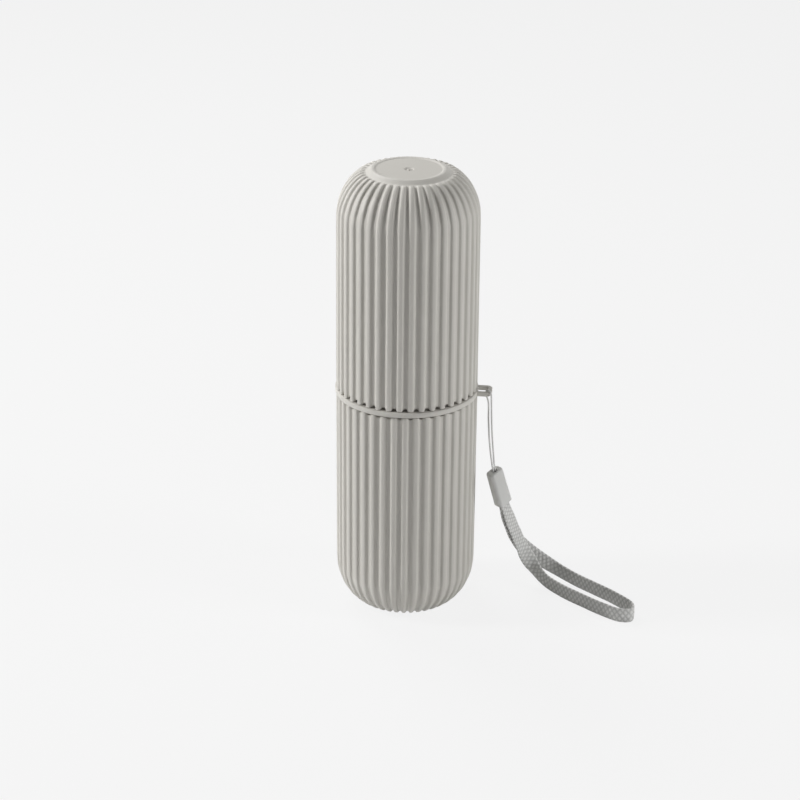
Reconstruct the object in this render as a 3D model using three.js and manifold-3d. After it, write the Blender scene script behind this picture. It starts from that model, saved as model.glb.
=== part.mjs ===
// Travel case for a toothbrush and paste: a ribbed cup and a ribbed lid, both pushed over a collar
// ring, with a wrist strap on the collar's eyelet. Millimetres, +Z up. The origin is on the case's
// axis, in the plane that the case stands on, and the eyelet points along +X.

import * as THREE from 'three';
import { mergeVertices } from 'three/addons/utils/BufferGeometryUtils.js';
import Module from 'manifold-3d';

// Heights of the two halves and of the collar's flange between them
const CUP_HEIGHT = 94.65;
const LID_HEIGHT = 92.8;
const FLANGE_THICKNESS = 2.25;
const SEAT_GAP = 0.15;

// Ribbed wall, the same section in both halves
const RIB_COUNT = 40;
const RIB_HEIGHT = 1.05;
const RIB_WIDTH = 2.1;
const CREST_RADIUS = 28.95;
const CREST_DRAFT = 0.1;
const WALL = 1.3;
const RIB_SHOULDER = { aside: 0.3, depth: 0.2 };
const RIM_SETBACK = 1.0;
const NOTCH_SIDE_GAP = 0.1;

// Domed end: an elliptical arc from the wall to the flat end
const DOME_HEIGHT = 20.05;
const DOME_REACH = 15.6;
const DOME_CUT = 0.15;
const DOME_GROOVE = 0.95;
const DOME_SHOULDER = { aside: 0.45, depth: 0.2 };
const DOME_FLANK = { aside: 0.78, depth: 0.61 };
const RIB_TIP_RADIUS = 18;
const FLAT_VALLEY_RISE = 4.3;
const GROOVE_START_RISE = 6.7;

// Flat end: a cone up from the rib tips, a rim to stand on, a recessed disc with a gate mark
const CONE_FOOT_RADIUS = 17;
const CONE_DROP = 1.55;
const RIM_RADIUS = 14.95;
const RIM_WIDTH = 1;
const RIM_COVE = 0.75;
const DISC_RECESS = 0.35;
const FLOOR_THICKNESS = 1.4;
const GATE_RADIUS = 1.9;
const GATE_NUB_RADIUS = 0.65;
const GATE_DEPTH = 0.5;

// Collar: a sleeve inside both halves, a flange between them, an eyelet on the flange
const FLANGE_OVERHANG = 0.35;
const FLANGE_ROUND = 0.45;
const COLLAR_CLEARANCE = 0.2;
const COLLAR_WALL = 1.3;
const COLLAR_UP = 16;
const COLLAR_DOWN = 12;
const COLLAR_LEAD = 0.6;
const EYELET_REACH = 5.7;
const EYELET_WIDTH = 8;
const EYELET_BAR = 1.6;
const EYELET_THICKNESS = 1.3;
const EYELET_CORNER = 2.4;
const EYELET_ROUND = 0.3;
const EYELET_ROOT = 1;

// Strap sleeve: a flat oval tube with a closed top and a round hole for the string
const SLEEVE_FOOT = new THREE.Vector3(40.57, 1.7, 45.36);
const SLEEVE_AXIS = new THREE.Vector3(-0.226, -0.232, 0.946).normalize();
const SLEEVE_LENGTH = 16.8;
const SLEEVE_FLAT = 3.8;
const SLEEVE_SIDE = 1.6;
const SLEEVE_FOOT_CORNER = 1.7;
const SLEEVE_TOP_CORNER = 1.5;
const SLEEVE_WALL = 0.6;
const SLEEVE_TOP = 1.2;
const SLEEVE_ROUND = 0.8;
const STRING_HOLE_RADIUS = 1.15;

// String, its knot, and the webbing
const STRING_DIAMETER = 0.7;
const STRING_STEPS = 46;
const KNOT_RADIUS = 1.2;
const KNOT_DEPTH = 5;
const WEBBING_WIDTH = 6.3;
const WEBBING_THICKNESS = 1.2;
const GATHERED_WIDTH = 4.6;
const GATHER_LENGTH = 22;
const WEBBING_STEPS = 60;

// The string's route: out of the sleeve, up to the eyelet, over its corner, back down
const STRING_ROUTE = [
  [37.9, -1.1, 58.0],
  [37.1, -1.9, 61.4],
  [36.1, -3.0, 72.0],
  [35.4, -3.7, 83.0],
  [35.1, -4.1, 92.5],
  [34.9, -3.9, 96.0],
  [34.3, -3.3, 97.3],
  [33.3, -2.3, 97.3],
  [32.65, -1.65, 96.4],
  [32.6, -1.6, 95.0],
  [33.0, -2.0, 94.2],
  [33.7, -2.8, 92.6],
  [34.0, -3.2, 84.0],
  [34.8, -3.3, 73.0],
  [36.4, -2.5, 61.1],
  [37.2, -1.7, 57.7],
];

// The webbing's route, along the middle of its thickness: down to the table, round the loop, back up
const WEBBING_ROUTE = [
  [39.3, -0.7, 52.9],
  [41.1, 1.1, 45.4],
  [42.5, 2.9, 40.0],
  [44.0, 5.2, 34.6],
  [46.6, 9.8, 25.4],
  [49.8, 14.2, 15.6],
  [53.6, 15.2, 8.8],
  [58.6, 12.2, 4.4],
  [66.2, 5.2, 3.25],
  [74.6, -2.0, 3.25],
  [83.2, -8.8, 3.25],
  [91.4, -13.6, 3.25],
  [96.0, -12.9, 3.25],
  [96.4, -8.0, 3.25],
  [88.4, 1.4, 3.25],
  [79.9, 8.8, 3.25],
  [71.5, 15.6, 3.5],
  [62.4, 19.8, 6.4],
  [54.6, 19.4, 11.6],
  [48.2, 16.2, 18.4],
  [44.4, 10.6, 27.0],
  [42.2, 6.0, 35.4],
  [41.0, 4.0, 40.4],
  [40.0, 2.3, 45.4],
  [38.2, 0.4, 52.9],
];

// Facets
const RIB_POINTS = 6;
const BORE_SEGMENTS = 52;
const END_SEGMENTS = 48;
const COLLAR_SEGMENTS = 60;
const SLEEVE_SEGMENTS = 24;
const GATE_SEGMENTS = 12;
const STRING_SIDES = 8;
const DOME_ROWS = 4;
const CORNER_SEGMENTS = 5;
const KNOT_SEGMENTS = 12;
const KNOT_RINGS = 8;
const ROUND_MIDDLE = 1 - Math.SQRT1_2;
const WELD = 1e-4;

// Places that follow from the sizes above
const FLANGE_BOTTOM = CUP_HEIGHT + SEAT_GAP;
const FLANGE_TOP = FLANGE_BOTTOM + FLANGE_THICKNESS;
const FULL_HEIGHT = FLANGE_TOP + SEAT_GAP + LID_HEIGHT;
const FLANGE_RADIUS = CREST_RADIUS + FLANGE_OVERHANG;
const SHOULDER_RADIUS = CREST_RADIUS - CREST_DRAFT;
const DOME_RISE = DOME_HEIGHT + DOME_CUT;
const DOME_CENTRE = SHOULDER_RADIUS - DOME_REACH;
const SHELL_DEPTH = RIB_HEIGHT + WALL;
const BORE_RADIUS = CREST_RADIUS - SHELL_DEPTH;
const PITCH = 2 * Math.PI / RIB_COUNT;

const wasm = await Module();
wasm.setup();

// A closed body for joining and cutting, with shared corners merged and slivers on the axis dropped
function toSolid(geometry) {
  const bare = geometry.clone();
  bare.deleteAttribute('normal');
  bare.deleteAttribute('uv');
  const merged = mergeVertices(bare, WELD);
  const corners = merged.getIndex().array;
  const triangles = [];
  for (let i = 0; i < corners.length; i += 3) {
    const [a, b, c] = corners.slice(i, i + 3);
    if (a !== b && b !== c && c !== a) {
      triangles.push(a, b, c);
    }
  }
  return new wasm.Manifold(new wasm.Mesh({
    numProp: 3,
    vertProperties: new Float32Array(merged.getAttribute('position').array),
    triVerts: new Uint32Array(triangles),
  }));
}

function toGeometry(solid) {
  const mesh = solid.getMesh();
  const geometry = new THREE.BufferGeometry();
  geometry.setAttribute('position', new THREE.BufferAttribute(new Float32Array(mesh.vertProperties), 3));
  geometry.setIndex(new THREE.BufferAttribute(new Uint32Array(mesh.triVerts), 1));
  geometry.computeVertexNormals();
  return geometry;
}

// Revolves [radius, height] pairs about Z
function revolve(profile, segments, start = 0) {
  const points = profile.map(([radius, height]) => new THREE.Vector2(radius, height));
  const geometry = new THREE.LatheGeometry(points, segments, start);
  geometry.rotateX(Math.PI / 2);
  return geometry;
}

// A point on the dome's crest arc and the arc's outward direction there, by the arc's angle
function domeCrest(angle) {
  const across = new THREE.Vector2(Math.cos(angle) / DOME_REACH, -Math.sin(angle) / DOME_RISE);
  return {
    radius: DOME_CENTRE + DOME_REACH * Math.cos(angle),
    height: DOME_HEIGHT - DOME_RISE * Math.sin(angle),
    out: across.normalize(),
  };
}

function domeAngle(rise) {
  return Math.asin(rise / DOME_RISE);
}

const TIP_ANGLE = Math.acos((RIB_TIP_RADIUS - DOME_CENTRE) / DOME_REACH);

// Half of one rib and valley as [distance from the crest, depth below it], crest to mid-valley.
// On the wall a half-round rib stands on a flat valley, and on the dome the valleys close to grooves.
function wallSection(radius, depth) {
  return [
    [0, 0],
    [RIB_SHOULDER.aside * RIB_WIDTH, RIB_SHOULDER.depth * depth],
    [RIB_WIDTH / 2, depth],
    [radius * PITCH / 2, depth],
  ];
}

function domeSection(radius, depth) {
  const half = radius * PITCH / 2;
  return [
    [0, 0],
    [DOME_SHOULDER.aside * half, DOME_SHOULDER.depth * depth],
    [DOME_FLANK.aside * half, DOME_FLANK.depth * depth],
    [half, depth],
  ];
}

// The crest rows of one half, from the rib tips to the mouth
function ribRows(height) {
  const rows = [];
  const grooveStart = domeAngle(GROOVE_START_RISE);
  for (let i = 0; i <= DOME_ROWS; i += 1) {
    const angle = THREE.MathUtils.lerp(TIP_ANGLE, grooveStart, i / DOME_ROWS);
    const crest = domeCrest(angle);
    rows.push({ ...crest, section: domeSection(crest.radius, DOME_GROOVE) });
  }
  const wallRadius = SHOULDER_RADIUS - RIB_HEIGHT;
  for (const rise of [FLAT_VALLEY_RISE, 0]) {
    const crest = domeCrest(domeAngle(rise));
    rows.push({
      ...crest,
      out: new THREE.Vector2(1, 0),
      section: wallSection(crest.radius, crest.radius - wallRadius),
    });
  }
  rows.push({
    radius: CREST_RADIUS,
    height,
    out: new THREE.Vector2(1, 0),
    section: wallSection(CREST_RADIUS, RIB_HEIGHT),
  });
  return rows;
}

// Revolves the crest line, then presses the valleys in between the ribs
function ribbedBody(height) {
  const rows = ribRows(height);
  const profile = [[0, CONE_DROP], [CONE_FOOT_RADIUS, CONE_DROP]];
  for (const row of rows) {
    profile.push([row.radius, row.height]);
  }
  profile.push([0, height]);
  const firstRow = 2;
  const segments = RIB_COUNT * RIB_POINTS;
  const geometry = revolve(profile, segments);
  const position = geometry.getAttribute('position');
  for (let i = 0; i <= segments; i += 1) {
    const rib = Math.round(i / RIB_POINTS);
    const station = i - rib * RIB_POINTS;
    rows.forEach((row, j) => {
      const [aside, depth] = row.section[Math.abs(station)];
      const radius = row.radius - depth * row.out.x;
      const turn = rib * PITCH + Math.sign(station) * aside / row.radius;
      position.setXYZ(
        i * profile.length + firstRow + j,
        radius * Math.sin(turn),
        -radius * Math.cos(turn),
        row.height - depth * row.out.y,
      );
    });
  }
  return toSolid(geometry);
}

// The flat end beyond the rib tips, with its rim and recessed disc
function flatEnd() {
  const discRadius = RIM_RADIUS - RIM_WIDTH - RIM_COVE;
  return toSolid(revolve([
    [0, DISC_RECESS],
    [discRadius, DISC_RECESS],
    [RIM_RADIUS - RIM_WIDTH, 0],
    [RIM_RADIUS, 0],
    [CONE_FOOT_RADIUS, CONE_DROP],
    [CONE_FOOT_RADIUS - WALL, CONE_DROP + WALL],
    [0, CONE_DROP + WALL],
  ], END_SEGMENTS));
}

// The moulding's gate mark: a dimple with a nub in its middle
function gateDimple() {
  const mouth = DISC_RECESS - GATE_DEPTH;
  const floor = DISC_RECESS + GATE_DEPTH;
  return toSolid(revolve([
    [GATE_NUB_RADIUS, mouth],
    [GATE_RADIUS, mouth],
    [GATE_RADIUS, DISC_RECESS],
    [(GATE_RADIUS + GATE_NUB_RADIUS) / 2, floor],
    [GATE_NUB_RADIUS, floor],
    [GATE_NUB_RADIUS, mouth],
  ], GATE_SEGMENTS));
}

// The hollow of one half, one shell depth inside the crest line
function cavity(height) {
  const floor = DISC_RECESS + FLOOR_THICKNESS;
  const floorRadius = RIM_RADIUS - RIM_WIDTH - RIM_COVE;
  const profile = [[0, floor], [floorRadius, floor]];
  for (let i = 0; i <= DOME_ROWS; i += 1) {
    const crest = domeCrest(TIP_ANGLE * (1 - i / DOME_ROWS));
    profile.push([
      crest.radius - SHELL_DEPTH * crest.out.x,
      crest.height - SHELL_DEPTH * crest.out.y,
    ]);
  }
  profile.push([BORE_RADIUS, height]);
  profile.push([BORE_RADIUS, height + WALL]);
  profile.push([0, height + WALL]);
  return toSolid(revolve(profile, BORE_SEGMENTS));
}

// A wheel of short spokes, one per valley, that sets the wall's edge back between the rib ends
function rimNotches(height) {
  const inner = BORE_RADIUS - WALL;
  const outer = FLANGE_RADIUS;
  const valleyRadius = CREST_RADIUS - RIB_HEIGHT;
  const halfNotch = PITCH / 2 - (RIB_WIDTH / 2 + NOTCH_SIDE_GAP) / valleyRadius;
  const outline = [];
  for (let i = 0; i < RIB_COUNT; i += 1) {
    const middle = (i + 0.5) * PITCH;
    for (const [radius, side] of [[inner, -1], [outer, -1], [outer, 1], [inner, 1]]) {
      const turn = middle + side * halfNotch;
      outline.push(new THREE.Vector2(radius * Math.cos(turn), radius * Math.sin(turn)));
    }
  }
  const wheel = new THREE.ExtrudeGeometry(new THREE.Shape(outline), {
    depth: RIM_SETBACK + WALL,
    bevelEnabled: false,
  });
  wheel.translate(0, 0, height - RIM_SETBACK);
  return toSolid(wheel);
}

// One half of the case, standing on its flat end with the mouth up
function ribbedCup(height) {
  const shell = ribbedBody(height)
    .add(flatEnd())
    .subtract(cavity(height))
    .subtract(gateDimple())
    .subtract(rimNotches(height));
  return toGeometry(shell);
}

// The collar's ring: sleeve and flange in one turned section
function collarRing() {
  const outer = BORE_RADIUS - COLLAR_CLEARANCE;
  const inner = outer - COLLAR_WALL;
  const bottom = FLANGE_BOTTOM - COLLAR_DOWN;
  const top = FLANGE_TOP + COLLAR_UP;
  return toSolid(revolve([
    [inner, bottom],
    [outer - COLLAR_LEAD, bottom],
    [outer, bottom + COLLAR_LEAD],
    [outer, FLANGE_BOTTOM],
    [FLANGE_RADIUS - FLANGE_ROUND, FLANGE_BOTTOM],
    [FLANGE_RADIUS, FLANGE_BOTTOM + FLANGE_ROUND],
    [FLANGE_RADIUS, FLANGE_TOP - FLANGE_ROUND],
    [FLANGE_RADIUS - FLANGE_ROUND, FLANGE_TOP],
    [outer, FLANGE_TOP],
    [outer, top - COLLAR_LEAD],
    [outer - COLLAR_LEAD, top],
    [inner, top],
    [inner, bottom],
  ], COLLAR_SEGMENTS));
}

// A loop outline in the flange's plane, open toward the ring, with two round outer corners
function eyeletOutline(path, start, end, halfWidth, corner) {
  path.moveTo(start, -halfWidth);
  path.lineTo(end - corner, -halfWidth);
  path.absarc(end - corner, -halfWidth + corner, corner, -Math.PI / 2, 0, false);
  path.lineTo(end, halfWidth - corner);
  path.absarc(end - corner, halfWidth - corner, corner, 0, Math.PI / 2, false);
  path.lineTo(start, halfWidth);
  path.closePath();
  return path;
}

function eyelet() {
  const end = FLANGE_RADIUS + EYELET_REACH;
  const halfWidth = EYELET_WIDTH / 2;
  const loop = eyeletOutline(
    new THREE.Shape(),
    FLANGE_RADIUS - EYELET_ROOT,
    end - EYELET_ROUND,
    halfWidth - EYELET_ROUND,
    EYELET_CORNER - EYELET_ROUND,
  );
  loop.holes.push(eyeletOutline(
    new THREE.Path(),
    FLANGE_RADIUS + EYELET_ROUND,
    end - EYELET_BAR + EYELET_ROUND,
    halfWidth - EYELET_BAR + EYELET_ROUND,
    EYELET_CORNER - EYELET_BAR + EYELET_ROUND,
  ));
  const bar = new THREE.ExtrudeGeometry(loop, {
    depth: EYELET_THICKNESS - 2 * EYELET_ROUND,
    bevelThickness: EYELET_ROUND,
    bevelSize: EYELET_ROUND,
    bevelSegments: 1,
    curveSegments: CORNER_SEGMENTS,
  });
  bar.translate(0, 0, (FLANGE_BOTTOM + FLANGE_TOP - EYELET_THICKNESS) / 2 + EYELET_ROUND);
  return toSolid(bar);
}

function strapCollar() {
  return toGeometry(collarRing().add(eyelet()));
}

// The strap sleeve, standing on its open foot: a turned section whose four quarters are drawn apart
// into a flat oval. The string's hole stays round.
function strapSleeve() {
  const top = SLEEVE_LENGTH;
  const boreTop = SLEEVE_LENGTH - SLEEVE_TOP;
  const hole = [STRING_HOLE_RADIUS, boreTop];
  const profile = [
    hole,
    [SLEEVE_TOP_CORNER - SLEEVE_WALL, boreTop],
    [SLEEVE_FOOT_CORNER - SLEEVE_WALL, 0],
    [SLEEVE_FOOT_CORNER, 0],
    [SLEEVE_TOP_CORNER, top - SLEEVE_ROUND],
    [SLEEVE_TOP_CORNER - SLEEVE_ROUND * ROUND_MIDDLE, top - SLEEVE_ROUND * ROUND_MIDDLE],
    [SLEEVE_TOP_CORNER - SLEEVE_ROUND, top],
    [STRING_HOLE_RADIUS, top],
    hole,
  ];
  const geometry = revolve(profile, SLEEVE_SEGMENTS, Math.PI / SLEEVE_SEGMENTS);
  const position = geometry.getAttribute('position');
  const roundRows = [0, profile.length - 2, profile.length - 1];
  for (let i = 0; i < position.count; i += 1) {
    if (!roundRows.includes(i % profile.length)) {
      const x = position.getX(i);
      const y = position.getY(i);
      position.setX(i, x + Math.sign(x) * SLEEVE_FLAT / 2);
      position.setY(i, y + Math.sign(y) * SLEEVE_SIDE / 2);
    }
  }
  geometry.computeVertexNormals();
  return geometry;
}

function routeCurve(points) {
  return new THREE.CatmullRomCurve3(points.map((point) => new THREE.Vector3(...point)), false, 'centripetal');
}

function stringLoop() {
  const section = new THREE.Shape();
  for (let i = 0; i < STRING_SIDES; i += 1) {
    const turn = 2 * Math.PI * i / STRING_SIDES;
    const x = STRING_DIAMETER / 2 * Math.cos(turn);
    const y = STRING_DIAMETER / 2 * Math.sin(turn);
    if (i === 0) {
      section.moveTo(x, y);
    } else {
      section.lineTo(x, y);
    }
  }
  section.closePath();
  return new THREE.ExtrudeGeometry(section, {
    steps: STRING_STEPS,
    extrudePath: routeCurve(STRING_ROUTE),
    bevelEnabled: false,
  });
}

function stringKnot() {
  const knot = new THREE.SphereGeometry(KNOT_RADIUS, KNOT_SEGMENTS, KNOT_RINGS);
  return toGeometry(toSolid(knot));
}

// The webbing: a straight flat band bent along its route with its faces kept upright. It is gathered
// to a smaller width where it enters the sleeve.
function wristWebbing() {
  const curve = routeCurve(WEBBING_ROUTE);
  const length = curve.getLength();
  const side = WEBBING_WIDTH / 2;
  const face = WEBBING_THICKNESS / 2;
  const band = new THREE.ExtrudeGeometry(new THREE.Shape([
    new THREE.Vector2(-face, -side),
    new THREE.Vector2(face, -side),
    new THREE.Vector2(face, side),
    new THREE.Vector2(-face, side),
  ]), { depth: 1, steps: WEBBING_STEPS, bevelEnabled: false });
  const position = band.getAttribute('position');
  const up = new THREE.Vector3(0, 0, 1);
  for (let i = 0; i < position.count; i += 1) {
    const share = THREE.MathUtils.clamp(position.getZ(i), 0, 1);
    const tangent = curve.getTangentAt(share);
    const across = new THREE.Vector3().crossVectors(up, tangent).normalize();
    const upward = new THREE.Vector3().crossVectors(tangent, across);
    const fromEnd = Math.min(share, 1 - share) * length;
    const spread = THREE.MathUtils.smoothstep(fromEnd, GATHER_LENGTH / 3, GATHER_LENGTH);
    const width = THREE.MathUtils.lerp(GATHERED_WIDTH / WEBBING_WIDTH, 1, spread);
    const point = curve.getPointAt(share)
      .addScaledVector(across, position.getX(i))
      .addScaledVector(upward, position.getY(i) * width);
    position.setXYZ(i, point.x, point.y, point.z);
  }
  band.computeVertexNormals();
  return band;
}

const SHELL_PLASTIC = { color: 0xc6c6c2, roughness: 0.5, metalness: 0 };
const SLEEVE_PLASTIC = { color: 0xbebeba, roughness: 0.55, metalness: 0 };
const GREY_CORD = { color: 0xa8a8a4, roughness: 0.8, metalness: 0 };
const GREY_BRAID = { color: 0xb2b2aa, roughness: 0.9, metalness: 0 };

function piece(name, geometry, finish) {
  const mesh = new THREE.Mesh(geometry, new THREE.MeshStandardMaterial(finish));
  mesh.name = name;
  return mesh;
}

const travelCase = new THREE.Group();

const lowerCup = piece('lower_cup', ribbedCup(CUP_HEIGHT), SHELL_PLASTIC);
lowerCup.rotation.z = PITCH / 2;
travelCase.add(lowerCup);

const lid = piece('lid', ribbedCup(LID_HEIGHT), SHELL_PLASTIC);
lid.rotation.x = Math.PI;
lid.position.z = FULL_HEIGHT;
travelCase.add(lid);

travelCase.add(piece('strap_collar', strapCollar(), SHELL_PLASTIC));

// The sleeve and the knot inside it stand on the strap's own axis, the oval's long side along the webbing
const sleeveGroup = new THREE.Group();
const sleeveShort = new THREE.Vector3(0, 0, 1).cross(SLEEVE_AXIS).normalize();
const sleeveLong = new THREE.Vector3().crossVectors(sleeveShort, SLEEVE_AXIS);
sleeveGroup.quaternion.setFromRotationMatrix(
  new THREE.Matrix4().makeBasis(sleeveLong, sleeveShort, SLEEVE_AXIS),
);
sleeveGroup.position.copy(SLEEVE_FOOT);
sleeveGroup.add(piece('strap_sleeve', strapSleeve(), SLEEVE_PLASTIC));

const knot = piece('string_knot', stringKnot(), GREY_CORD);
knot.position.z = SLEEVE_LENGTH - KNOT_DEPTH;
sleeveGroup.add(knot);
travelCase.add(sleeveGroup);

travelCase.add(piece('string_loop', stringLoop(), GREY_CORD));
travelCase.add(piece('wrist_webbing', wristWebbing(), GREY_BRAID));

export default travelCase;
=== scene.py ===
"""Looks of the ribbed travel case with its wrist strap.

Metres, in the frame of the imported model: +Z up, the case's axis on Z, the eyelet along +X.
Sizes and routes are written in millimetres, as on the drawing, and MM makes them metres.
"""

import math

import bmesh
import bpy
from mathutils import Matrix, Vector


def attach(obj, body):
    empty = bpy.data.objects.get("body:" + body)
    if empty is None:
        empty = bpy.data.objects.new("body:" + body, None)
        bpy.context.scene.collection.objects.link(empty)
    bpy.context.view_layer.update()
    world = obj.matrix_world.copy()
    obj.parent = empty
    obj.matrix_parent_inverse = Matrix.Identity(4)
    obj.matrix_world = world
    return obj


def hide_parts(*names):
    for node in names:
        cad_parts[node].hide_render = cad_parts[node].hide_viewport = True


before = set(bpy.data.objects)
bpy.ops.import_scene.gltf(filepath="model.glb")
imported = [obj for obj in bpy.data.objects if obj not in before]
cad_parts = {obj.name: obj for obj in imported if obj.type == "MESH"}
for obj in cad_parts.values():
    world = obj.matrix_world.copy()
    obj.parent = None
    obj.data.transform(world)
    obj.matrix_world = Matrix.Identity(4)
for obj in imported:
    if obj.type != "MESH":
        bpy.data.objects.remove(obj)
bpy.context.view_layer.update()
MM = 0.001

# The halves: heights, wall and ribs
CUP_HEIGHT = 94.65
LID_HEIGHT = 92.8
WALL = 1.3
CREST_RADIUS = 28.95
CREST_DRAFT = 0.1
RIB_COUNT = 40
RIB_HEIGHT = 1.05
RIB_HALF_WIDTH = 1.4
RIB_FULLNESS = 2.6
RIB_COLUMNS = 12
RIB_TIP_RADIUS = 18
TIP_HALF_WIDTH = 0.9
TIP_SINK = 0.85

# Their mouth. From the notch column on, the lip between the ribs is set back
MOUTH_BAND = 1.6
MOUTH_ROUND = 0.2
MOUTH_CHAMFER = 0.1
MOUTH_LIP = 0.3
NOTCH_COLUMN = 4
RIM_SETBACK = 1.0

# Their dome, whose crests follow an arc of an ellipse
DOME_HEIGHT = 20.05
DOME_REACH = 15.6
DOME_RISE = 20.2
DOME_STEPS = 7
INNER_DOME_STEPS = 4
DOME_GROOVE = 0.95
GROOVE_START_RISE = 6.7
FLAT_VALLEY_RISE = 4.3

# Their plain end. Its middle is a level between the disc outside and the floor inside
CONE_FOOT_RADIUS = 17
CONE_DROP = 1.55
RIM_RADIUS = 14.95
RIM_INNER_RADIUS = 13.95
DISC_RADIUS = 13.2
DISC_RECESS = 0.35
DISC_EDGE = 0.1
DISC_FIELD_RADIUS = DISC_RADIUS - 0.9
FLOOR_LEVEL = 1.75
FLOOR_RADIUS = DISC_RADIUS - 1
END_MIDDLE = 1.0
GATE_RADIUS = 1.9
GATE_NUB_RADIUS = 0.65
GATE_DEPTH = 0.5
GATE_FLOOR = DISC_RECESS + GATE_DEPTH

# The collar. Its rounded corners are rows of [inset, rise] from the sharp corner
SEAT_GAP = 0.15
FLANGE_THICKNESS = 2.25
FLANGE_RADIUS = 29.3
FLANGE_CORNER = ((0.45, 0), (0.13, 0.13), (0, 0.45))
COLLAR_RADIUS = 26.4
COLLAR_WALL = 1.3
COLLAR_UP = 16
COLLAR_DOWN = 12
COLLAR_STEPS = 200
COLLAR_CHAMFER = 0.2
COLLAR_LEAD_IN = ((0.6, 0), (0.15, 0.3), (0, 0.8))
EYELET_END = 35.0
EYELET_WIDTH = 8
EYELET_BAR = 1.6
EYELET_THICKNESS = 1.8
EYELET_CORNER = 2.4
EYELET_ROUND = 0.3
EYELET_ROUND_STEPS = 3

# The sleeve. Its tapers are the shares of its width and depth that are left at the far end
SLEEVE_FOOT = Vector((40.57, 1.7, 45.36))
SLEEVE_AXIS = Vector((-0.226, -0.232, 0.946)).normalized()
SLEEVE_LENGTH = 16.8
SLEEVE_WIDTH = 7.2
SLEEVE_DEPTH = 5.0
SLEEVE_WALL = 0.6
SLEEVE_TOP = 1.2
SLEEVE_CORNER = 1.7
SLEEVE_TAPER = (0.945, 0.92, 1)
SLEEVE_BORE_TAPER = (0.93, 0.9, 1)
SLEEVE_SHOULDER = 0.9
SLEEVE_SHOULDER_STEPS = 5
SLEEVE_ROUND = 0.12
SLEEVE_ROUND_STEPS = 2
STRING_HOLE_RADIUS = 1.15
DRILL_LENGTH = 4
DRILL_STEPS = 32

# The strap's string, knot and webbing, and how finely round forms are made
STRING_DIAMETER = 0.7
STRING_STEP = 0.25
KNOT_DEPTH = 5
KNOT_THICKNESS = 0.66
KNOT_SCALE = 0.28
KNOT_RISE = 1.5
KNOT_STEPS = 48
WEBBING_WIDTH = 6.3
WEBBING_THICKNESS = 1.2
WEBBING_STEP = 0.36
WEBBING_COLUMNS = 20
WEBBING_EDGE_POWER = 8
WEBBING_EDGE_LEAST = 0.2
GATHERED_WIDTH = 4.6
GATHER_LENGTH = 22
GATHER_HOLD = GATHER_LENGTH / 3
GATHER_SPREAD = GATHER_LENGTH * 2 / 3
BRAID_ALONG = 2.2
BRAID_ACROSS = 3.0
BRAID_RELIEF = 0.13
BRAID_MAP = "braid"
ROUTE_STEPS = 60
CORD_ROUNDNESS = 2
CORNER_STEPS = 8

# Angles in degrees from which an edge is rounded, or from which it stays sharp in the shading
EYELET_ROUND_FROM = 50
SLEEVE_ROUND_FROM = 55
HALF_SHARP = 50
COLLAR_SHARP = 35
SLEEVE_SHARP = 40

# Slack in finding vertices and faces: metres, radians, a share and the upright part of a normal
ROW_SLACK = 1e-6
TURN_SLACK = 1e-4
JUST_OVER = 1.001
LEVEL_FACE = 0.9
WELD = 1e-7
SEAM_WELD = 2e-6

# Finishes: linear colours, noise by the metre (by the millimetre on the braid), relief in metres
SHELL_LIGHT = (0.605, 0.588, 0.548, 1)
SHELL_DARK = (0.555, 0.538, 0.5, 1)
SLEEVE_LIGHT = (0.64, 0.64, 0.622, 1)
SLEEVE_DARK = (0.58, 0.58, 0.563, 1)
SATIN = 0.45
DULL = 0.8
DULL_BLEND = 0.4
PLASTIC_SPECULAR = 0.3
NOISE_MIDDLE = 0.5
CLOUD_SCALE = 60.0
CLOUD_DETAIL = 3.0
CLOUD_GLOSS = 0.08
SKIN_SCALE = 2600.0
SKIN_DETAIL = 2.0
SKIN_STRENGTH = 0.06
SKIN_RELIEF = 0.0002
# The webbing's colour runs from a painted shade in the braid's hollows to the yarn's colour on top
WEBBING_LIGHT = (0.74, 0.74, 0.724, 1)
WEBBING_HOLLOW_SHADE = (0.5, 0.5, 0.487, 1)
WEBBING_SHADE_SPAN = (0.2, 1.1)
WEBBING_ROUGHNESS = 0.85
WEBBING_STRENGTH = 0.5
WEBBING_RELIEF = 0.0002
FIBRE_SCALE = 2.2
FIBRE_DETAIL = 4.0
FIBRE_ROUGHNESS = 0.7
FIBRE_HEIGHT = 0.5
CORD_LIGHT = (0.85, 0.85, 0.84, 1)
CORD_DARK = (0.6, 0.6, 0.59, 1)
CORD_ROUGHNESS = 0.7
CORD_SCALE = 2200.0
CORD_DETAIL = 3.0
CORD_STRENGTH = 0.4
CORD_RELIEF = 0.0001

# Camera, fitted to the case's outline in the photograph
CAMERA_TURN = math.radians(5.7)
CAMERA_RISE = math.radians(23.585)
CAMERA_ROLL = math.radians(0.562)
CAMERA_DISTANCE = 1010.8 * MM
CAMERA_TARGET = Vector((0, 0, 92.8 * MM))
CAMERA_LENS = 110.95
CAMERA_SENSOR = 36
CAMERA_SHIFT = (-0.0085, -0.0075)
CAMERA_NEAR = 0.05

# Stage. The lamps' places, aims and sizes are in metres, their power in watts
STAGE_SIZE = 8
STAGE_COLOUR = (0.95, 0.95, 0.95, 1)
STAGE_GLOW = (0.915, 0.915, 0.915, 1)
STAGE_GLOW_SHARE = 0.93
WORLD_COLOUR = (1, 1, 1, 1)
WORLD_LIGHT = 0.085
WORLD_SEEN = 0.9
LAMPS = (
    ("key", (-1.05, -0.17, 0.66), (0, 0, 0.05), (0.2, 0.5), 10.8),
    ("top", (-0.45, 0.5, 0.95), (0, 0, 0.1), (0.5, 0.5), 5.4),
    ("side", (0.95, -0.22, 0.4), (0, 0, 0.07), (0.3, 0.8), 5.2),
)

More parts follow.
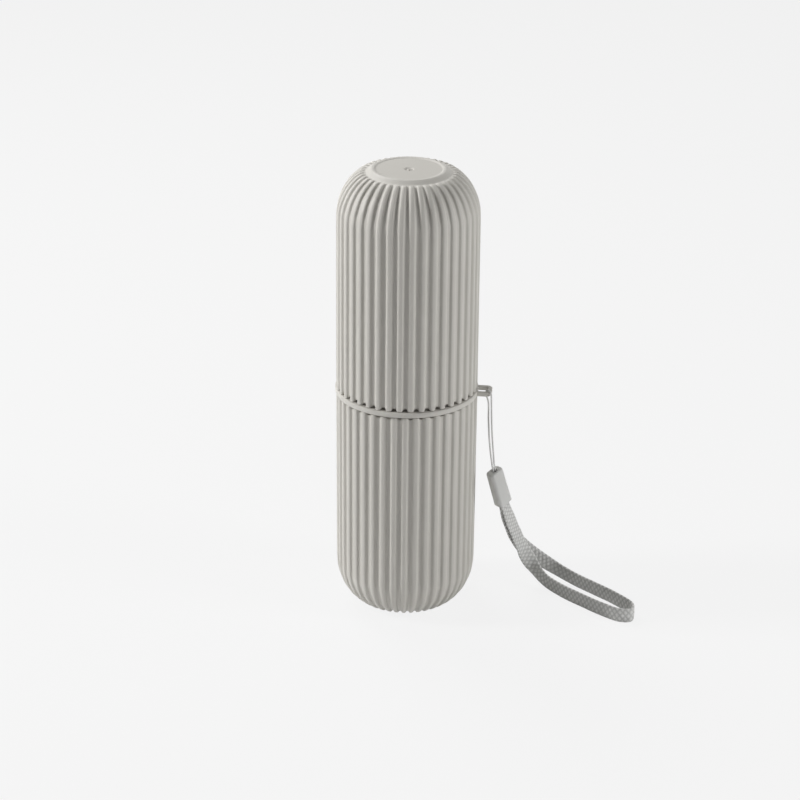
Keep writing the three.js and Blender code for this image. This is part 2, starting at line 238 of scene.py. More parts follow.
# What follows from the sizes
PITCH = 2 * math.pi / RIB_COUNT
SHOULDER_RADIUS = CREST_RADIUS - CREST_DRAFT
SHELL_DEPTH = RIB_HEIGHT + WALL
TIP_ANGLE = math.acos((RIB_TIP_RADIUS - SHOULDER_RADIUS + DOME_REACH) / DOME_REACH)
GROOVE_ANGLE = math.asin(GROOVE_START_RISE / DOME_RISE)
FLANGE_BOTTOM = CUP_HEIGHT + SEAT_GAP
FLANGE_TOP = FLANGE_BOTTOM + FLANGE_THICKNESS
FULL_HEIGHT = FLANGE_TOP + SEAT_GAP + LID_HEIGHT

# Profile of the plain end as [radius, level]: end disc, step, rim and cone. Rows close to an edge,
# on both sides of it, keep it tight when the mesh is subdivided
END_ROWS = (
    (DISC_FIELD_RADIUS, DISC_RECESS),
    (DISC_RADIUS - DISC_EDGE, DISC_RECESS),
    (DISC_RADIUS + 0.15, DISC_RECESS - 0.05),
    (RIM_INNER_RADIUS - 0.2, 0.05),
    (RIM_INNER_RADIUS + 0.1, 0),
    (RIM_RADIUS - 0.15, 0),
    (RIM_RADIUS + 0.12, 0.09),
    (CONE_FOOT_RADIUS - 0.35, CONE_DROP - 0.25),
    (CONE_FOOT_RADIUS, CONE_DROP),
)
# Profile of the gate mark in the middle of the disc, a dimple with a nub, its edges rounded
GATE_ROWS = (
    (DISC_FIELD_RADIUS, DISC_RECESS),
    (GATE_RADIUS + 0.5, DISC_RECESS),
    (GATE_RADIUS + 0.15, DISC_RECESS),
    (GATE_RADIUS, DISC_RECESS + 0.06),
    (GATE_RADIUS - 0.35, GATE_FLOOR - 0.1),
    (GATE_RADIUS - 0.6, GATE_FLOOR),
    (GATE_NUB_RADIUS + 0.05, GATE_FLOOR),
    (GATE_NUB_RADIUS, GATE_FLOOR - 0.06),
    (GATE_NUB_RADIUS - 0.04, DISC_RECESS + 0.1),
    (GATE_NUB_RADIUS - 0.12, DISC_RECESS + 0.03),
)
# Rows over the dome from the rib tips to the wall: step, and depth of the grooves there
DOME_ROWS = (
    (0, DOME_GROOVE), (0.35, 0.7), (1, 0.75), (2, 0.85),
    *((step, DOME_GROOVE) for step in range(3, DOME_STEPS + 1)),
)

# Routes of the string and of the webbing. Each starts and ends inside the sleeve
STRING_ROUTE = [
    (37.9, -1.1, 58.0),
    (37.1, -1.9, 61.4),
    (36.1, -3.0, 72.0),
    (35.4, -3.7, 83.0),
    (35.1, -4.1, 92.5),
    (34.9, -3.9, 96.0),
    (34.3, -3.3, 97.3),
    (33.3, -2.3, 97.3),
    (32.65, -1.65, 96.4),
    (32.6, -1.6, 95.0),
    (33.0, -2.0, 94.2),
    (33.7, -2.8, 92.6),
    (34.0, -3.2, 84.0),
    (34.8, -3.3, 73.0),
    (36.4, -2.5, 61.1),
    (37.2, -1.7, 57.7),
]
WEBBING_ROUTE = [
    (39.3, -0.7, 52.9),
    (41.1, 1.1, 45.4),
    (42.5, 2.9, 40.0),
    (44.0, 5.2, 34.6),
    (46.6, 9.8, 25.4),
    (49.8, 14.2, 15.6),
    (53.6, 15.2, 8.8),
    (58.6, 12.2, 4.4),
    (66.2, 5.2, 3.25),
    (74.6, -2.0, 3.25),
    (83.2, -8.8, 3.25),
    (91.4, -13.6, 3.25),
    (96.0, -12.9, 3.25),
    (96.4, -8.0, 3.25),
    (88.4, 1.4, 3.25),
    (79.9, 8.8, 3.25),
    (71.5, 15.6, 3.5),
    (62.4, 19.8, 6.4),
    (54.6, 19.4, 11.6),
    (48.2, 16.2, 18.4),
    (44.4, 10.6, 27.0),
    (42.2, 6.0, 35.4),
    (41.0, 4.0, 40.4),
    (40.0, 2.3, 45.4),
    (38.2, 0.4, 52.9),
]


# Shading


class Socket:
    """An output in a node tree. Sums, products and powers of it add Math nodes."""

    def __init__(self, finish, link):
        self.finish = finish
        self.link = link

    def beside(self, name):
        """Another output of the same node."""
        return Socket(self.finish, self.link.node.outputs[name])

    def maths(self, operation, left, right=0.0):
        return self.finish.node("ShaderNodeMath", {"operation": operation}, {0: left, 1: right})

    def __add__(self, other):
        return self.maths("ADD", self, other)

    def __radd__(self, other):
        return self.maths("ADD", other, self)

    def __sub__(self, other):
        return self.maths("SUBTRACT", self, other)

    def __rsub__(self, other):
        return self.maths("SUBTRACT", other, self)

    def __mul__(self, other):
        return self.maths("MULTIPLY", self, other)

    def __rmul__(self, other):
        return self.maths("MULTIPLY", other, self)

    def __pow__(self, other):
        return self.maths("POWER", self, other)

    def __rpow__(self, other):
        return self.maths("POWER", other, self)

    def sine(self):
        return self.maths("SINE", self)

    def size(self):
        return self.maths("ABSOLUTE", self)

    def most(self, other):
        return self.maths("MAXIMUM", self, other)


class Finish:
    """The nodes of their owner, a material or the world."""

    def __init__(self, owner):
        self.owner = owner
        owner.use_nodes = True
        self.tree = owner.node_tree
        self.tree.nodes.clear()

    def node(self, kind, settings=None, sockets=None, out=0):
        """Adds a node, sets it up, feeds its sockets and returns one of its outputs, if any."""
        added = self.tree.nodes.new(kind)
        for name, value in (settings or {}).items():
            setattr(added, name, value)
        for name, value in (sockets or {}).items():
            if isinstance(value, Socket):
                self.tree.links.new(value.link, added.inputs[name])
            else:
                added.inputs[name].default_value = value
        return Socket(self, added.outputs[out]) if len(added.outputs) else None

    def mix(self, share, first, second):
        """A colour between two others."""
        return self.node(
            "ShaderNodeMix", {"data_type": "RGBA"}, {0: share, 6: first, 7: second}, out=2
        )

    def spread(self, value, start, end, low=0.0, high=1.0):
        """A value from low to high, as another one goes from start to end."""
        return self.node(
            "ShaderNodeMapRange", None, {0: value, 1: start, 2: end, 3: low, 4: high}
        )

    def noise(self, place, scale, detail, roughness=0.5):
        """Soft random shades between 0 and 1."""
        return self.node("ShaderNodeTexNoise", None, {
            "Vector": place, "Scale": scale, "Detail": detail, "Roughness": roughness,
        })

    def relief(self, height, strength, distance):
        """A fine bump for the shader's normal."""
        return self.node("ShaderNodeBump", None, {
            "Height": height, "Strength": strength, "Distance": distance,
        })

    def seen(self):
        """1 for what the camera sees, also in gloss and through glass, 0 for light on the case."""
        camera = self.node("ShaderNodeLightPath", out="Is Camera Ray")
        glossy = camera.beside("Is Glossy Ray")
        through = camera.beside("Is Transmission Ray")
        return camera.most(glossy.most(through))

    def surface(self, shader, output="ShaderNodeOutputMaterial"):
        """Ends the nodes in a shader and returns their owner."""
        self.node(output, None, {"Surface": shader})
        return self.owner


def moulded_plastic(name, light, dark, dull_disc=False):
    """Satin plastic with faint clouds and a very fine skin, duller on a half's end disc."""
    finish = Finish(bpy.data.materials.new(name))
    place = finish.node("ShaderNodeTexCoord", out="Object")
    clouds = finish.noise(place, CLOUD_SCALE, CLOUD_DETAIL)
    skin = finish.noise(place, SKIN_SCALE, SKIN_DETAIL)
    satin = SATIN
    if dull_disc:
        x = finish.node("ShaderNodeSeparateXYZ", None, {0: place}, out="X")
        y = x.beside("Y")
        radius = (x * x + y * y) ** 0.5
        start = (DISC_RADIUS - DISC_EDGE) * MM
        satin = finish.spread(radius, start, (DISC_RADIUS + DULL_BLEND) * MM, DULL, SATIN)
    shader = finish.node("ShaderNodeBsdfPrincipled", None, {
        "Base Color": finish.mix(clouds, dark, light),
        "Roughness": satin + CLOUD_GLOSS * (clouds - NOISE_MIDDLE),
        "Specular IOR Level": PLASTIC_SPECULAR,
        "Normal": finish.relief(skin, SKIN_STRENGTH, SKIN_RELIEF),
    })
    return finish.surface(shader)


def flat_braid(name):
    """Flat braided band. The piece's UV map counts millimetres along and across it. Its colour is
    a painted shade in the hollows between the yarns, darker where the braid is low, with random
    fibre tones.
    """
    finish = Finish(bpy.data.materials.new(name))
    uv = finish.node("ShaderNodeUVMap", {"uv_map": BRAID_MAP})
    u = finish.node("ShaderNodeSeparateXYZ", None, {0: uv}, out="X")
    along = u * (math.pi / BRAID_ALONG)
    across = u.beside("Y") * (math.pi / BRAID_ACROSS)
    bumps = ((along + across).sine() * (along - across).sine()).size()
    fibres = finish.noise(uv, FIBRE_SCALE, FIBRE_DETAIL, FIBRE_ROUGHNESS)
    height = bumps + fibres * FIBRE_HEIGHT
    # Painted shade: darker where the braid and its fibres are low, lighter on top
    painted_shade = finish.spread(height, *WEBBING_SHADE_SPAN)
    shader = finish.node("ShaderNodeBsdfPrincipled", None, {
        "Base Color": finish.mix(painted_shade, WEBBING_HOLLOW_SHADE, WEBBING_LIGHT),
        "Roughness": WEBBING_ROUGHNESS,
        "Normal": finish.relief(height, WEBBING_STRENGTH, WEBBING_RELIEF),
    })
    return finish.surface(shader)


def twisted_cord(name):
    """Thin cord with fine fibres."""
    finish = Finish(bpy.data.materials.new(name))
    place = finish.node("ShaderNodeTexCoord", out="Object")
    fibres = finish.noise(place, CORD_SCALE, CORD_DETAIL)
    shader = finish.node("ShaderNodeBsdfPrincipled", None, {
        "Base Color": finish.mix(fibres, CORD_DARK, CORD_LIGHT),
        "Roughness": CORD_ROUGHNESS,
        "Normal": finish.relief(fibres, CORD_STRENGTH, CORD_RELIEF),
    })
    return finish.surface(shader)


# Modelling by operators. A piece is open while it is in edit mode


def begin(name, add, **sizes):
    """Adds a primitive at the origin with nothing else selected, and opens it."""
    bpy.ops.object.select_all(action="DESELECT")
    add(**sizes)
    piece = bpy.context.object
    piece.name = name
    piece.data.name = name
    bpy.ops.object.mode_set(mode="EDIT")
    return piece


def begin_ring(name, start, steps):
    """Opens a new piece as a circle at one [radius, level]."""
    radius, level = start
    piece = begin(name, bpy.ops.mesh.primitive_circle_add, vertices=steps, radius=radius * MM)
    lift(level)
    return piece


def begin_block(name, size, middle):
    """Opens a new piece as a block of a size about its middle."""
    piece = begin(name, bpy.ops.mesh.primitive_cube_add, size=MM)
    bpy.ops.transform.resize(value=size)
    bpy.ops.transform.translate(value=tuple(place * MM for place in middle))
    return piece


def lift(rise):
    """Moves what is selected up, in millimetres."""
    bpy.ops.transform.translate(value=(0, 0, rise * MM))


def widen(share):
    """Scales what is selected out from the axis."""
    bpy.ops.transform.resize(value=(share, share, 1), center_override=(0, 0, 0))


def draw_rows(profile):
    """Draws the selected ring or arc on along a profile of [radius, level]."""
    for (radius, level), (next_radius, next_level) in zip(profile, profile[1:]):
        bpy.ops.mesh.extrude_region_move()
        widen(next_radius / radius)
        lift(next_level - level)


def choose(piece, kind, test):
    """Selects the vertices, edges or faces of an open piece that pass a test."""
    mesh = bmesh.from_edit_mesh(piece.data)
    bpy.ops.mesh.select_mode(type=kind)
    bpy.ops.mesh.select_all(action="DESELECT")
    for element in {"VERT": mesh.verts, "EDGE": mesh.edges, "FACE": mesh.faces}[kind]:
        element.select = test(element)
    mesh.select_flush_mode()
    bmesh.update_edit_mesh(piece.data)


def pick(piece, test):
    """Selects the vertices that pass a test of their place."""
    choose(piece, "VERT", lambda vertex: test(vertex.co))


def pick_edges(piece, test):
    """Selects the edges that pass a test of their two ends."""
    choose(piece, "EDGE", lambda edge: test(edge.verts[0].co, edge.verts[1].co))


def pick_faces(piece, test):
    """Selects the faces that pass a test of their normal."""
    choose(piece, "FACE", lambda face: test(face.normal))


def upright(start, end):
    """Tells whether an edge between two places stands up."""
    return abs(start.z - end.z) > MM


def face_outwards():
    """Turns all faces of the open piece outwards."""
    bpy.ops.mesh.select_all(action="SELECT")
    bpy.ops.mesh.normals_make_consistent(inside=False)


def close_up(weld):
    """Merges doubled vertices of the open piece and turns its faces outwards."""
    bpy.ops.mesh.select_mode(type="VERT")
    bpy.ops.mesh.select_all(action="SELECT")
    bpy.ops.mesh.remove_doubles(threshold=weld)
    face_outwards()


def leave():
    """Ends the editing of the open piece."""
    bpy.ops.object.mode_set(mode="OBJECT")


def apply_modifier(piece, kind, **settings):
    """Adds a modifier and applies it."""
    modifier = piece.modifiers.new(kind.title(), kind)
    for name, value in settings.items():
        setattr(modifier, name, value)
    bpy.ops.object.select_all(action="DESELECT")
    piece.select_set(True)
    bpy.context.view_layer.objects.active = piece
    bpy.ops.object.modifier_apply(modifier=modifier.name)


def combine(piece, tool, operation):
    """Joins a second shape to a piece, or cuts it away, and removes it."""
    apply_modifier(piece, "BOOLEAN", operation=operation, object=tool, solver="EXACT")
    bpy.data.objects.remove(tool)


def round_edges(piece, width, steps, angle):
    """Rounds the edges that turn by more than an angle."""
    apply_modifier(
        piece, "BEVEL", width=width * MM, segments=steps,
        limit_method="ANGLE", angle_limit=math.radians(angle),
    )


def smooth(angle):
    """Shades the active piece smooth, apart from edges that turn by more than an angle."""
    bpy.ops.object.shade_smooth_by_angle(angle=math.radians(angle))


def add_object(name, data):
    """A new object in the scene."""
    added = bpy.data.objects.new(name, data)
    bpy.context.scene.collection.objects.link(added)
    return added


def dress(piece, body, slot, material, *nodes):
    """Gives a piece its material and its body, and hides the solids that it stands for."""
    piece.data.materials.clear()
    piece.data.materials.append(material)
    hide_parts(*nodes)
    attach(piece, body)


# Camera


def place_camera():
    """The camera at the photograph's viewing angle."""
    camera = add_object("camera", bpy.data.cameras.new("camera"))
    camera.data.sensor_width = CAMERA_SENSOR
    camera.data.lens = CAMERA_LENS
    camera.data.shift_x, camera.data.shift_y = CAMERA_SHIFT
    camera.data.clip_start = CAMERA_NEAR
    aim = (
        Matrix.Rotation(CAMERA_TURN, 4, "Z")
        @ Matrix.Rotation(math.pi / 2 - CAMERA_RISE, 4, "X")
        @ Matrix.Rotation(CAMERA_ROLL, 4, "Z")
    )
    back = aim.to_3x3() @ Vector((0, 0, 1))
    camera.matrix_world = Matrix.Translation(CAMERA_TARGET + back * CAMERA_DISTANCE) @ aim
    bpy.context.scene.camera = camera


# Cords


def smooth_route(points, spacing):
    """Even steps along the smooth curve through some points, and the curve's length."""
    knots = [Vector(point) for point in points]
    knots = [2 * knots[0] - knots[1], *knots, 2 * knots[-1] - knots[-2]]
    fine = []
    for first, start, end, last in zip(knots, knots[1:], knots[2:], knots[3:]):
        before = (start - first).length ** 0.5
        step = (end - start).length ** 0.5
        after = (last - end).length ** 0.5
        leave_way = (
            (start - first) / before - (end - first) / (before + step) + (end - start) / step
        )
        arrive_way = (
            (end - start) / step - (last - start) / (step + after) + (last - end) / after
        )
        leave_way *= step
        arrive_way *= step
        for i in range(ROUTE_STEPS):
            t = i / ROUTE_STEPS
            fine.append(
                start + leave_way * t
                + (3 * (end - start) - 2 * leave_way - arrive_way) * t ** 2
                + (2 * (start - end) + leave_way + arrive_way) * t ** 3
            )
    fine.append(knots[-2])
    lengths = [0.0]
    for here, there in zip(fine, fine[1:]):
        lengths.append(lengths[-1] + (there - here).length)
    count = max(2, round(lengths[-1] / spacing))
    route = []
    at = 0
    for i in range(count + 1):
        target = lengths[-1] * i / count
        while at < len(fine) - 2 and lengths[at + 1] < target:
            at += 1
        share = (target - lengths[at]) / (lengths[at + 1] - lengths[at])
        route.append(fine[at].lerp(fine[at + 1], share))
    return route, lengths[-1]


def directions(route):
    """The way the route runs at each of its points."""
    ways = []
    for i in range(len(route)):
        ways.append((route[min(i + 1, len(route) - 1)] - route[max(i - 1, 0)]).normalized())
    return ways


def skin_rings(name, rings):
    """A closed skin over rings that have equally many points."""
    count = len(rings[0])
    vertices = [point * MM for ring in rings for point in ring]
    faces = []
    for i in range(len(rings) - 1):
        for j in range(count):
            k = (j + 1) % count
            faces.append((
                i * count + j, i * count + k, (i + 1) * count + k, (i + 1) * count + j,
            ))
    faces.append(tuple(reversed(range(count))))
    faces.append(tuple((len(rings) - 1) * count + j for j in range(count)))
    mesh = bpy.data.meshes.new(name)
    mesh.from_pydata(vertices, [], faces)
    mesh.shade_smooth()
    return add_object(name, mesh)


def cord_curve(name, points, thickness, ring=False):
    """A round cord through points in metres, open or closed to a ring."""
    curve = bpy.data.curves.new(name, "CURVE")
    curve.dimensions = "3D"
    curve.bevel_depth = thickness / 2 * MM
    curve.bevel_resolution = CORD_ROUNDNESS
    curve.use_fill_caps = not ring
    spline = curve.splines.new("POLY")
    spline.use_cyclic_u = ring
    spline.points.add(len(points) - 1)
    for knot, point in zip(spline.points, points):
        knot.co = (*point, 1)
    return add_object(name, curve)


def braid_height(along, across):
    """Height of the braid between 0 and 1, at a place on the flat band."""
    u = math.pi * along / BRAID_ALONG
    v = math.pi * across / BRAID_ACROSS
    return abs(math.sin(u + v) * math.sin(u - v))


def band_section(width, along):
    """Outline of the webbing's section as [across its thickness, across its width]."""
    outline = []
    for side in (1, -1):
        for i in range(WEBBING_COLUMNS + 1):
            share = 2 * i / WEBBING_COLUMNS - 1
            rounding = max((1 - abs(share) ** WEBBING_EDGE_POWER) ** 0.5, WEBBING_EDGE_LEAST)
            braid = braid_height(along, share * side * WEBBING_WIDTH / 2)
            half = WEBBING_THICKNESS / 2 - BRAID_RELIEF * (1 - braid)
            outline.append((side * half * rounding, side * share * width / 2))
    return outline


def make_webbing(material):
    """The band on edge along its route, gathered at both ends to go into the sleeve."""
    route, length = smooth_route(WEBBING_ROUTE, WEBBING_STEP)
    step = length / (len(route) - 1)
    rings = []
    for i, (point, way) in enumerate(zip(route, directions(route))):
        flat = Vector((0, 0, 1)).cross(way).normalized()
        upward = way.cross(flat)
        from_end = min(i, len(route) - 1 - i) * step
        spread = min(1, max(0, (from_end - GATHER_HOLD) / GATHER_SPREAD))
        spread = spread * spread * (3 - 2 * spread)
        width = GATHERED_WIDTH + (WEBBING_WIDTH - GATHERED_WIDTH) * spread
        section = band_section(width, i * step)
        rings.append([point + flat * x + upward * y for x, y in section])
    piece = skin_rings("wrist_band", rings)
    count = len(rings[0])
    layer = piece.data.uv_layers.new(name=BRAID_MAP)
    section = band_section(WEBBING_WIDTH, 0)
    for loop in piece.data.loops:
        i, j = divmod(loop.vertex_index, count)
        layer.data[loop.index].uv = (i * step, section[j][1])
    dress(piece, "strap", "webbing", material, "wrist_webbing")
    length * MM
    [point * MM for point in route]


def make_string(material):
    """The thin cord from the sleeve up through the eyelet and back."""
    route, length = smooth_route(STRING_ROUTE, STRING_STEP)
    piece = cord_curve("string", [point * MM for point in route], STRING_DIAMETER)
    dress(piece, "strap", "cord", material, "string_loop")
    length * MM


# The strap's fittings


def sleeve_place():
    """Stands a piece on the strap's axis, its long side along the webbing's width."""
    short = Vector((0, 0, 1)).cross(SLEEVE_AXIS).normalized()
    long = short.cross(SLEEVE_AXIS)
    turn = Matrix((long, short, SLEEVE_AXIS)).transposed().to_4x4()
    return Matrix.Translation(SLEEVE_FOOT * MM) @ turn


def make_sleeve():
    """A flat oval ferrule, open below and with a round hole in its shoulder for the string."""
    size = (SLEEVE_WIDTH, SLEEVE_DEPTH, SLEEVE_LENGTH)
    piece = begin_block("sleeve", size, (0, 0, SLEEVE_LENGTH / 2))
    pick_edges(piece, upright)
    bpy.ops.mesh.bevel(offset=SLEEVE_CORNER * MM, segments=CORNER_STEPS, affect="EDGES")
    pick_faces(piece, lambda normal: normal.z > LEVEL_FACE)
    bpy.ops.transform.resize(value=SLEEVE_TAPER)
    bpy.ops.mesh.bevel(
        offset=SLEEVE_SHOULDER * MM, segments=SLEEVE_SHOULDER_STEPS, affect="EDGES"
    )
    pick_faces(piece, lambda normal: normal.z < -LEVEL_FACE)
    bpy.ops.mesh.inset(thickness=SLEEVE_WALL * MM)
    bpy.ops.mesh.extrude_region_move(
        TRANSFORM_OT_translate={"value": (0, 0, (SLEEVE_LENGTH - SLEEVE_TOP) * MM)}
    )
    bpy.ops.transform.resize(value=SLEEVE_BORE_TAPER)
    face_outwards()
    leave()
    drill = begin(
        "drill", bpy.ops.mesh.primitive_cylinder_add,
        vertices=DRILL_STEPS, radius=STRING_HOLE_RADIUS * MM, depth=DRILL_LENGTH * MM,
    )
    lift(SLEEVE_LENGTH)
    leave()
    combine(piece, drill, "DIFFERENCE")
    round_edges(piece, SLEEVE_ROUND, SLEEVE_ROUND_STEPS, SLEEVE_ROUND_FROM)
    smooth(SLEEVE_SHARP)
    piece.matrix_world = sleeve_place()
    bpy.ops.object.transform_apply(location=True, rotation=True, scale=True)
    return piece


def make_knot(material):
    """The tied end of the string, a tight three-lobed knot under the sleeve's shoulder."""
    place = sleeve_place()
    points = []
    for i in range(KNOT_STEPS):
        t = 2 * math.pi * i / KNOT_STEPS
        lobe = Vector((
            math.sin(t) + 2 * math.sin(2 * t),
            math.cos(t) - 2 * math.cos(2 * t),
            -KNOT_RISE * math.sin(3 * t),
        )) * KNOT_SCALE * MM
        lobe.z += (SLEEVE_LENGTH - KNOT_DEPTH) * MM
        points.append(place @ lobe)
    piece = cord_curve("tied_knot", points, KNOT_THICKNESS, ring=True)
    dress(piece, "strap", "cord", material, "string_knot")
    return piece


# The two halves


def crest_at(angle):
    """A point on the dome's crest arc as radius and level, and the way out of the surface."""
    out = Vector((math.cos(angle) / DOME_REACH, -math.sin(angle) / DOME_RISE)).normalized()
    radius = SHOULDER_RADIUS - DOME_REACH * (1 - math.cos(angle))
    return radius, DOME_HEIGHT - DOME_RISE * math.sin(angle), out


def rib_depths(radius, groove):
    """How far each column of one rib lies under its crest on a row of this radius."""
    share = (radius - RIB_TIP_RADIUS) / (CREST_RADIUS - RIB_TIP_RADIUS)
    half = TIP_HALF_WIDTH + (RIB_HALF_WIDTH - TIP_HALF_WIDTH) * share
    depths = []
    for column in range(RIB_COLUMNS // 2 + 1):
        aside = min(1, radius * column * PITCH / RIB_COLUMNS / half)
        depths.append(groove * (1 - (1 - aside ** RIB_FULLNESS) ** (1 / RIB_FULLNESS)))
    return depths


def outer_rows(height):
    """Rows of the outside from the end disc to the mouth: radius, level, depths and way out."""
    sideways = Vector((1, 0))
    rows = [(radius, level, [], sideways) for radius, level in END_ROWS]
    for step, groove in DOME_ROWS:
        angle = TIP_ANGLE + (GROOVE_ANGLE - TIP_ANGLE) * step / DOME_STEPS
        radius, level, out = crest_at(angle)
        depths = rib_depths(radius, groove)
        if step == 0:
            depths = [max(TIP_SINK, depth) for depth in depths]
        rows.append((radius, level, depths, out))
    valley = SHOULDER_RADIUS - RIB_HEIGHT
    for rise in (FLAT_VALLEY_RISE, FLAT_VALLEY_RISE / 2, 0):
        radius, level, _ = crest_at(math.asin(rise / DOME_RISE))
        rows.append((radius, level, rib_depths(radius, radius - valley), sideways))
    depths = rib_depths(CREST_RADIUS, RIB_HEIGHT)
    wall = [
        (CREST_RADIUS - CREST_DRAFT / 2, (height + DOME_HEIGHT) / 2),
        (CREST_RADIUS, height - MOUTH_BAND),
        (CREST_RADIUS, height - MOUTH_ROUND),
        (CREST_RADIUS - MOUTH_CHAMFER, height),
    ]
    return rows + [(radius, level, depths, sideways) for radius, level in wall]


def inner_rows(height):
    """Rows of the inside from the mouth to the floor: radius and level."""
    bore = CREST_RADIUS - SHELL_DEPTH
    rows = [
        (bore + MOUTH_CHAMFER, height),
        (bore, height - MOUTH_ROUND),
        (bore, height - MOUTH_BAND),
    ]
    for i in range(INNER_DOME_STEPS + 1):
        radius, level, out = crest_at(TIP_ANGLE * i / INNER_DOME_STEPS)
        rows.append((radius - SHELL_DEPTH * out.x, level - SHELL_DEPTH * out.y))
    return rows + [(DISC_RADIUS, FLOOR_LEVEL), (FLOOR_RADIUS, FLOOR_LEVEL)]


def turn_of(place):
    """The angle of a place about the axis."""
    return math.atan2(place.y, place.x)


def column_of(place):
    """The column of the rib on which a place lies, counted from the crest to either side."""
    return round(abs(turn_of(place)) * RIB_COLUMNS / PITCH)


def at_station(place, radius, level, column):
    """Tells whether a place lies on a row and on a column of the rib."""
    return (
        abs(place.xy.length - radius * MM) < ROW_SLACK
        and abs(place.z - level * MM) < ROW_SLACK
        and column_of(place) == column
    )


def press_rib(piece, rows):
    """Presses the columns beside the crest in to their depth, row by row."""
    for radius, level, depths, out in rows:
        for column, depth in enumerate(depths):
            if depth > 0:
                pick(piece, lambda place: at_station(place, radius, level, column))
                widen((radius - depth * out.x) / radius)
                lift(-depth * out.y)


def close_ends(piece):
    """Closes the inner floor and the end disc, which gets the gate mark in its middle."""
    floor = FLOOR_RADIUS * JUST_OVER * MM
    pick(piece, lambda place: place.xy.length < floor and place.z > END_MIDDLE * MM)
    bpy.ops.mesh.edge_face_add()
    disc = DISC_FIELD_RADIUS * JUST_OVER * MM
    pick(piece, lambda place: place.xy.length < disc and place.z < END_MIDDLE * MM)
    draw_rows(GATE_ROWS)
    bpy.ops.mesh.edge_face_add()
    face_outwards()


def make_half(name, height):
    """An open half with its flat end down. One rib is drawn, pressed to shape and spun round."""
    rows = outer_rows(height)
    profile = [row[:2] for row in rows] + inner_rows(height)
    piece = begin_ring(name, profile[0], RIB_COUNT * RIB_COLUMNS)
    pick(piece, lambda place: abs(turn_of(place)) > PITCH / 2 + TURN_SLACK)
    bpy.ops.mesh.delete(type="VERT")
    bpy.ops.mesh.select_all(action="SELECT")
    draw_rows(profile)
    press_rib(piece, rows)
    lip = (height - MOUTH_LIP) * MM
    pick(piece, lambda place: place.z > lip and column_of(place) >= NOTCH_COLUMN)
    lift(-RIM_SETBACK)

    bpy.ops.mesh.select_all(action="SELECT")
    bpy.ops.mesh.spin(
        steps=RIB_COUNT - 1, dupli=True, angle=2 * math.pi - PITCH,
        center=(0, 0, 0), axis=(0, 0, 1),
    )
    close_up(SEAM_WELD)
    leave()
    apply_modifier(piece, "SUBSURF", levels=1, render_levels=1)
    bpy.ops.object.mode_set(mode="EDIT")
    close_ends(piece)
    return piece


def stand_half(turn, axis, rise):
    """Turns the open half about an axis, lifts it to its place and ends its editing."""
    bpy.ops.mesh.select_all(action="SELECT")
    bpy.ops.transform.rotate(value=turn, orient_axis=axis, center_override=(0, 0, 0))
    lift(rise)
    leave()
    smooth(HALF_SHARP)


# The collar


def make_eyelet():
    """A flat bar with round outer corners and a slot through it."""
    start = FLANGE_RADIUS - EYELET_BAR
    length = EYELET_END - start
    middle = start + length / 2
    size = (length, EYELET_WIDTH, EYELET_THICKNESS)
    piece = begin_block("eyelet", size, (middle, 0, (FLANGE_BOTTOM + FLANGE_TOP) / 2))
    pick_edges(piece, lambda a, b: upright(a, b) and min(a.x, b.x) > middle * MM)
    bpy.ops.mesh.bevel(offset=EYELET_CORNER * MM, segments=CORNER_STEPS, affect="EDGES")
    pick_faces(piece, lambda normal: abs(normal.z) > LEVEL_FACE)
    bpy.ops.mesh.inset(thickness=EYELET_BAR * MM, use_individual=True)
    bpy.ops.mesh.bridge_edge_loops()
    close_up(WELD)
    leave()
    round_edges(piece, EYELET_ROUND, EYELET_ROUND_STEPS, EYELET_ROUND_FROM)
    return piece


def make_collar():
    """The ring with its flange and inner sleeve, and the eyelet joined to it."""
    inner = COLLAR_RADIUS - COLLAR_WALL
    bottom = FLANGE_BOTTOM - COLLAR_DOWN
    top = FLANGE_TOP + COLLAR_UP
    end = [(inner, COLLAR_CHAMFER), (inner + COLLAR_CHAMFER, 0)]
    end += [(COLLAR_RADIUS - inset, rise) for inset, rise in COLLAR_LEAD_IN]
    flange = [(COLLAR_RADIUS, 0)]
    flange += [(FLANGE_RADIUS - inset, rise) for inset, rise in FLANGE_CORNER]
    profile = [
        *((radius, bottom + rise) for radius, rise in end),
        *((radius, FLANGE_BOTTOM + rise) for radius, rise in flange),
        *((radius, FLANGE_TOP - rise) for radius, rise in reversed(flange)),
        *((radius, top - rise) for radius, rise in reversed(end)),
    ]
    piece = begin_ring("collar_ring", profile[0], COLLAR_STEPS)
    draw_rows(profile)
    pick(piece, lambda place: place.xy.length < (inner + COLLAR_CHAMFER / 2) * MM)
    bpy.ops.mesh.bridge_edge_loops()
    close_up(WELD)
    leave()
    combine(piece, make_eyelet(), "UNION")
    smooth(COLLAR_SHARP)
    return piece


# Stage


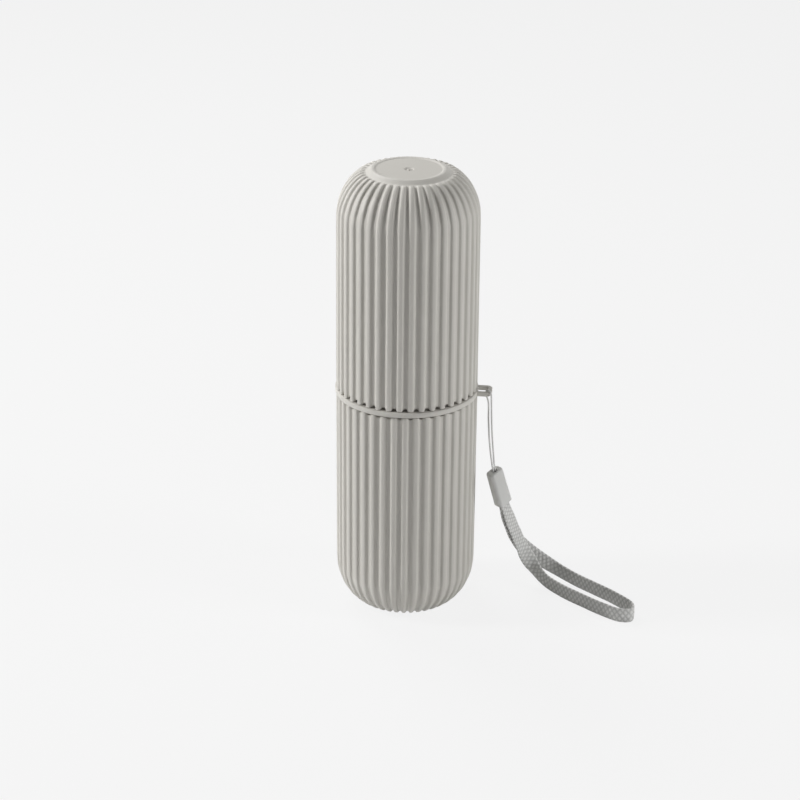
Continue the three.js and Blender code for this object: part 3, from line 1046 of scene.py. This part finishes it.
def make_stage():
    """The floor, which keeps the shadows and otherwise looks evenly pale to the camera."""
    floor = begin("floor", bpy.ops.mesh.primitive_plane_add, size=STAGE_SIZE)
    leave()
    finish = Finish(bpy.data.materials.new("pale_floor"))
    cloth = finish.node("ShaderNodeBsdfDiffuse", None, {"Color": STAGE_COLOUR})
    glow = finish.node("ShaderNodeEmission", None, {"Color": STAGE_GLOW, "Strength": 1.0})
    share = STAGE_GLOW_SHARE * finish.seen()
    shader = finish.node("ShaderNodeMixShader", None, {0: share, 1: cloth, 2: glow})
    floor.data.materials.append(finish.surface(shader))


def add_lamp(name, place, aim, size, power):
    """A soft panel at a place, turned to its aim."""
    lamp = bpy.data.lights.new(name, "AREA")
    lamp.shape = "RECTANGLE"
    lamp.size, lamp.size_y = size
    lamp.energy = power
    turn = (Vector(aim) - Vector(place)).to_track_quat("-Z", "Y").to_matrix().to_4x4()
    add_object(name, lamp).matrix_world = Matrix.Translation(place) @ turn


def light_scene():
    """A dim world, which the camera sees as a pale backdrop, and the lamps."""
    world = bpy.data.worlds.new("studio")
    bpy.context.scene.world = world
    finish = Finish(world)
    level = finish.spread(finish.seen(), 0.0, 1.0, WORLD_LIGHT, WORLD_SEEN)
    backdrop = finish.node(
        "ShaderNodeBackground", None, {"Color": WORLD_COLOUR, "Strength": level}
    )
    finish.surface(backdrop, "ShaderNodeOutputWorld")
    for lamp in LAMPS:
        add_lamp(*lamp)
    bpy.context.scene.view_settings.view_transform = "Standard"


# Making, with the camera and the cords first

place_camera()
shell = moulded_plastic("shell_plastic", SHELL_LIGHT, SHELL_DARK, dull_disc=True)
sleeve_plastic = moulded_plastic("sleeve_plastic", SLEEVE_LIGHT, SLEEVE_DARK)
cord = twisted_cord("cord")
make_webbing(flat_braid("braid"))
knot = make_knot(cord)
sleeve = make_sleeve()
dress(sleeve, "strap", "sleeve_plastic", sleeve_plastic, "strap_sleeve")
make_string(cord)

# The cup's ribs stand half a pitch off the lid's, and the lid is a half turned over
cup = make_half("ribbed_cup", CUP_HEIGHT)
stand_half(PITCH / 2, "Z", 0)
dress(cup, "cup", "shell_plastic", shell, "lower_cup")

lid = make_half("ribbed_lid", LID_HEIGHT)
stand_half(math.pi, "X", FULL_HEIGHT)
dress(lid, "lid", "shell_plastic", shell, "lid")

dress(make_collar(), "collar", "shell_plastic", shell, "strap_collar")

make_stage()
light_scene()
